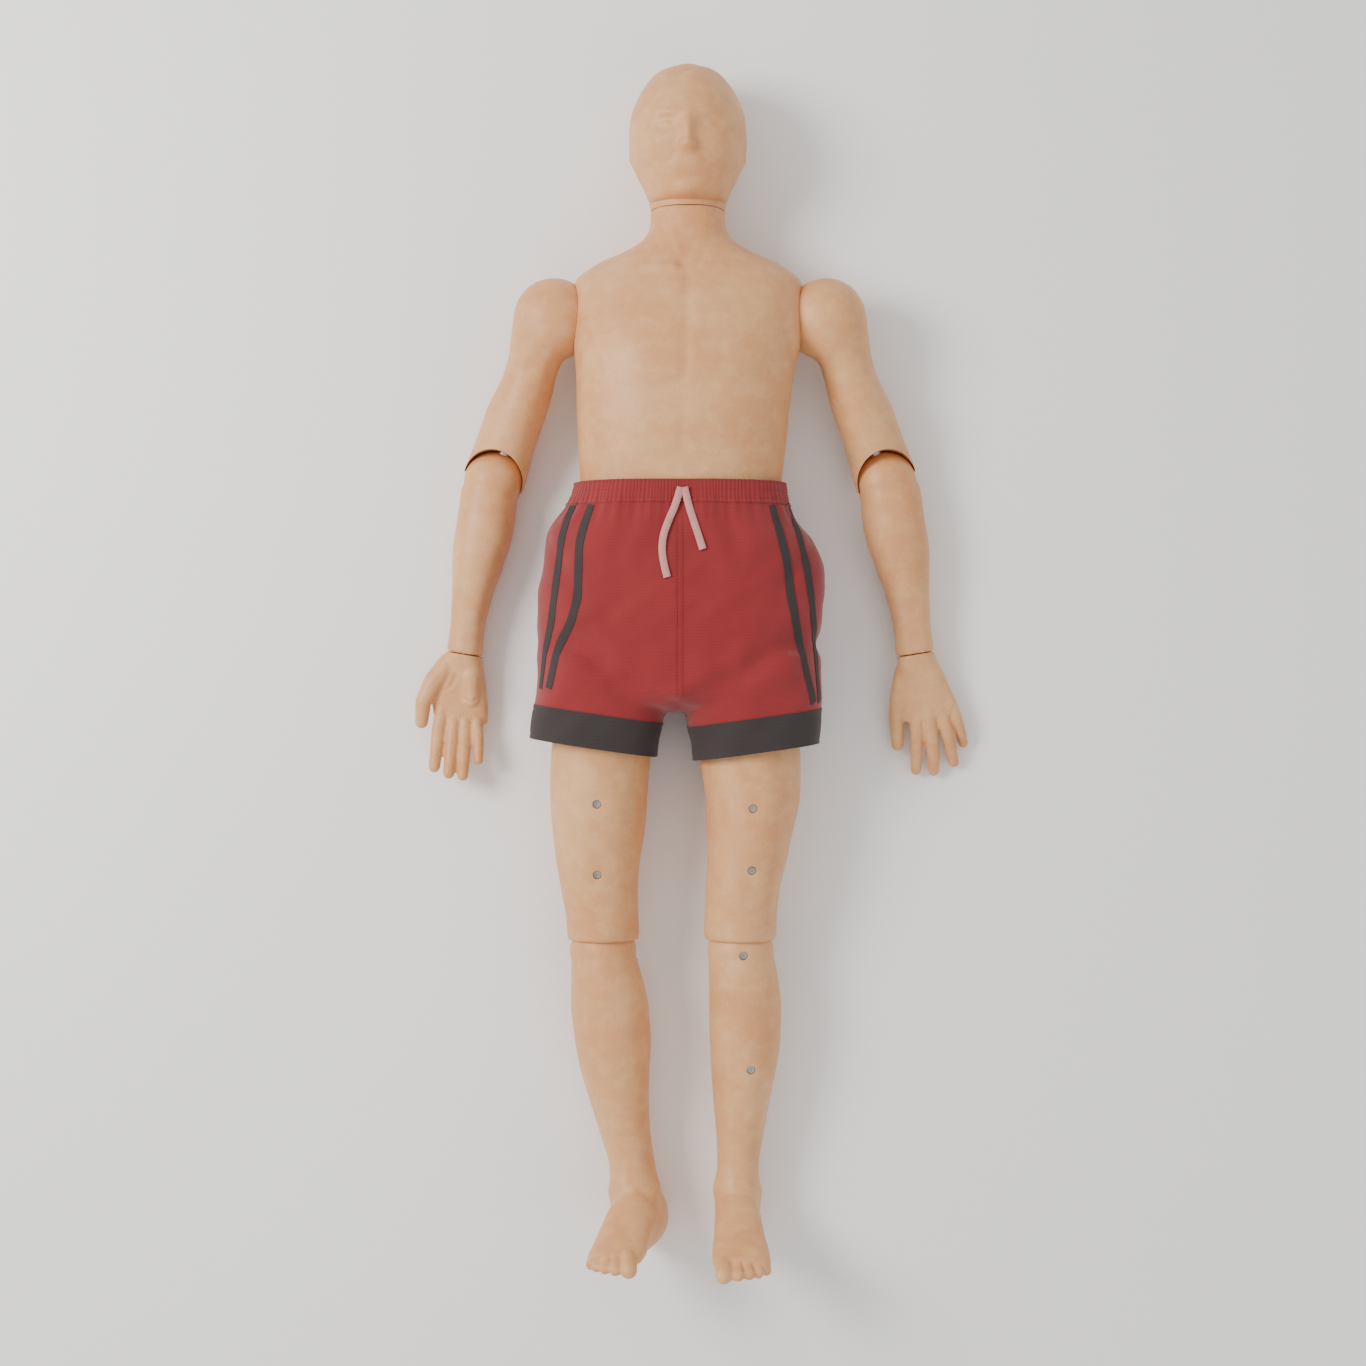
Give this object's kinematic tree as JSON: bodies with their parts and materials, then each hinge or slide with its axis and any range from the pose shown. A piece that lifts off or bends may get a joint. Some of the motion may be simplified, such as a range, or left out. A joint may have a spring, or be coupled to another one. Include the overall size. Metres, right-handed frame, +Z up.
{
  "type": "jointed rescue manikin",
  "caption": "Full-size jointed manikin of soft tan vinyl over a steel skeleton, lying on its back in red swim shorts with a drawstring.",
  "frame": {"origin": "centre of the bounding box in plan, on the floor that the manikin lies on", "axes": "+Y towards the head, +X towards the manikin's own left, +Z up out of the chest"},
  "size_m": [0.7945, 1.6721, 0.226],
  "materials": {
    "vinyl": "satin",
    "steel": "satin",
    "axle_steel": "ground",
    "screw_steel": "zinc plated",
    "red_cloth": "plain weave",
    "dark_band": "plain weave",
    "drawstring": "flat braid"
  },
  "bodies": {
    "torso": {"chest_block": "steel", "drawstring_left": "drawstring", "drawstring_right": "drawstring", "hip_axle": "axle_steel", "hip_nuts": "screw_steel", "hip_washers": "screw_steel", "neck_tube": "steel", "pelvis_block": "steel", "shorts_seat": "red_cloth", "shoulder_crossbar": "steel", "spine_tube": "steel", "torso_shell": "vinyl", "waistband": "red_cloth"},
    "neck_yoke": {"neck_yoke": "steel", "neck_ball": "vinyl"},
    "head": {"head_shell": "vinyl", "skull_post": "steel", "neck_pin": "axle_steel"},
    "shoulder_axle_left": {"shoulder_axle_left": "axle_steel"},
    "upper_arm_left": {"upper_arm_shell_left": "vinyl", "humerus_left": "steel", "shoulder_pin_left": "axle_steel", "elbow_pin_left": "axle_steel"},
    "forearm_left": {"forearm_shell_left": "vinyl", "forearm_rod_left": "steel", "wrist_bolt_left": "screw_steel"},
    "hand_left": {"hand_left": "vinyl"},
    "thigh_left": {"thigh_shell_left": "vinyl", "femur_left": "steel", "knee_pin_left": "axle_steel", "thigh_screws_left": "screw_steel", "shorts_leg_left": "red_cloth", "hem_band_left": "dark_band"},
    "knee_block_left": {"knee_block_left": "steel"},
    "lower_leg_left": {"lower_leg_shell_left": "vinyl", "shin_tube_left": "steel", "shin_screws_left": "screw_steel"},
    "shoulder_axle_right": {"shoulder_axle_right": "axle_steel"},
    "upper_arm_right": {"upper_arm_shell_right": "vinyl", "humerus_right": "steel", "shoulder_pin_right": "axle_steel", "elbow_pin_right": "axle_steel"},
    "forearm_right": {"forearm_shell_right": "vinyl", "forearm_rod_right": "steel", "wrist_bolt_right": "screw_steel"},
    "hand_right": {"hand_right": "vinyl"},
    "thigh_right": {"thigh_shell_right": "vinyl", "femur_right": "steel", "knee_pin_right": "axle_steel", "thigh_screws_right": "screw_steel", "shorts_leg_right": "red_cloth", "hem_band_right": "dark_band"},
    "knee_block_right": {"knee_block_right": "steel"},
    "lower_leg_right": {"lower_leg_shell_right": "vinyl", "shin_tube_right": "steel"}
  },
  "joints": [
    {"name": "head_turn", "type": "hinge", "parent": "torso", "child": "neck_yoke", "pos_m": [-0.003, 0.649, 0.085], "axis": [0, 1, 0], "range_deg": [-60, 60]},
    {"name": "head_tilt", "type": "hinge", "parent": "neck_yoke", "child": "head", "pos_m": [-0.003, 0.649, 0.085], "axis": [1, 0, 0], "range_deg": [-15, 9]},
    {"name": "shoulder_swing_left", "type": "hinge", "parent": "torso", "child": "shoulder_axle_left", "pos_m": [0.19, 0.481, 0.085], "axis": [-1, 0, 0], "range_deg": [-15, 160]},
    {"name": "shoulder_spread_left", "type": "hinge", "parent": "shoulder_axle_left", "child": "upper_arm_left", "pos_m": [0.19, 0.481, 0.085], "axis": [0, 0, 1], "range_deg": [-4, 55]},
    {"name": "elbow_left", "type": "hinge", "parent": "upper_arm_left", "child": "forearm_left", "pos_m": [0.279, 0.258, 0.043], "axis": [-0.9856, -0.169, 0], "range_deg": [0, 95]},
    {"name": "wrist_turn_left", "type": "hinge", "parent": "forearm_left", "child": "hand_left", "pos_m": [0.321, 0.013, 0.033], "axis": [0.1688, -0.9848, -0.0402], "range_deg": [-80, 80]},
    {"name": "shoulder_swing_right", "type": "hinge", "parent": "torso", "child": "shoulder_axle_right", "pos_m": [-0.19, 0.481, 0.085], "axis": [-1, 0, 0], "range_deg": [-15, 160]},
    {"name": "shoulder_spread_right", "type": "hinge", "parent": "shoulder_axle_right", "child": "upper_arm_right", "pos_m": [-0.19, 0.481, 0.085], "axis": [0, 0, -1], "range_deg": [-4, 55]},
    {"name": "elbow_right", "type": "hinge", "parent": "upper_arm_right", "child": "forearm_right", "pos_m": [-0.279, 0.258, 0.043], "axis": [-0.9856, 0.169, 0], "range_deg": [0, 95]},
    {"name": "wrist_turn_right", "type": "hinge", "parent": "forearm_right", "child": "hand_right", "pos_m": [-0.321, 0.013, 0.033], "axis": [-0.1688, -0.9848, -0.0402], "range_deg": [-80, 80]},
    {"name": "hip_left", "type": "hinge", "parent": "torso", "child": "thigh_left", "pos_m": [0.072, 0.036, 0.09], "axis": [-1, 0, 0], "range_deg": [-2, 88], "deforming": ["shorts_leg_left", "hem_band_left", "shorts_seat"]},
    {"name": "knee_left", "type": "hinge", "parent": "thigh_left", "child": "knee_block_left", "pos_m": [0.071, -0.404, 0.074], "axis": [1, 0, 0], "range_deg": [0, 88]},
    {"name": "shin_turn_left", "type": "hinge", "parent": "knee_block_left", "child": "lower_leg_left", "pos_m": [0.071, -0.404, 0.074], "axis": [0.0098, 0.9982, 0.0589], "range_deg": [-20, 35]},
    {"name": "hip_right", "type": "hinge", "parent": "torso", "child": "thigh_right", "pos_m": [-0.106, 0.036, 0.09], "axis": [-1, 0, 0], "range_deg": [-2, 88], "deforming": ["shorts_leg_right", "hem_band_right"]},
    {"name": "knee_right", "type": "hinge", "parent": "thigh_right", "child": "knee_block_right", "pos_m": [-0.122, -0.404, 0.074], "axis": [1, 0, 0], "range_deg": [0, 88]},
    {"name": "shin_turn_right", "type": "hinge", "parent": "knee_block_right", "child": "lower_leg_right", "pos_m": [-0.122, -0.404, 0.074], "axis": [-0.1298, 0.9898, 0.0584], "range_deg": [-15, 10]}
  ]
}
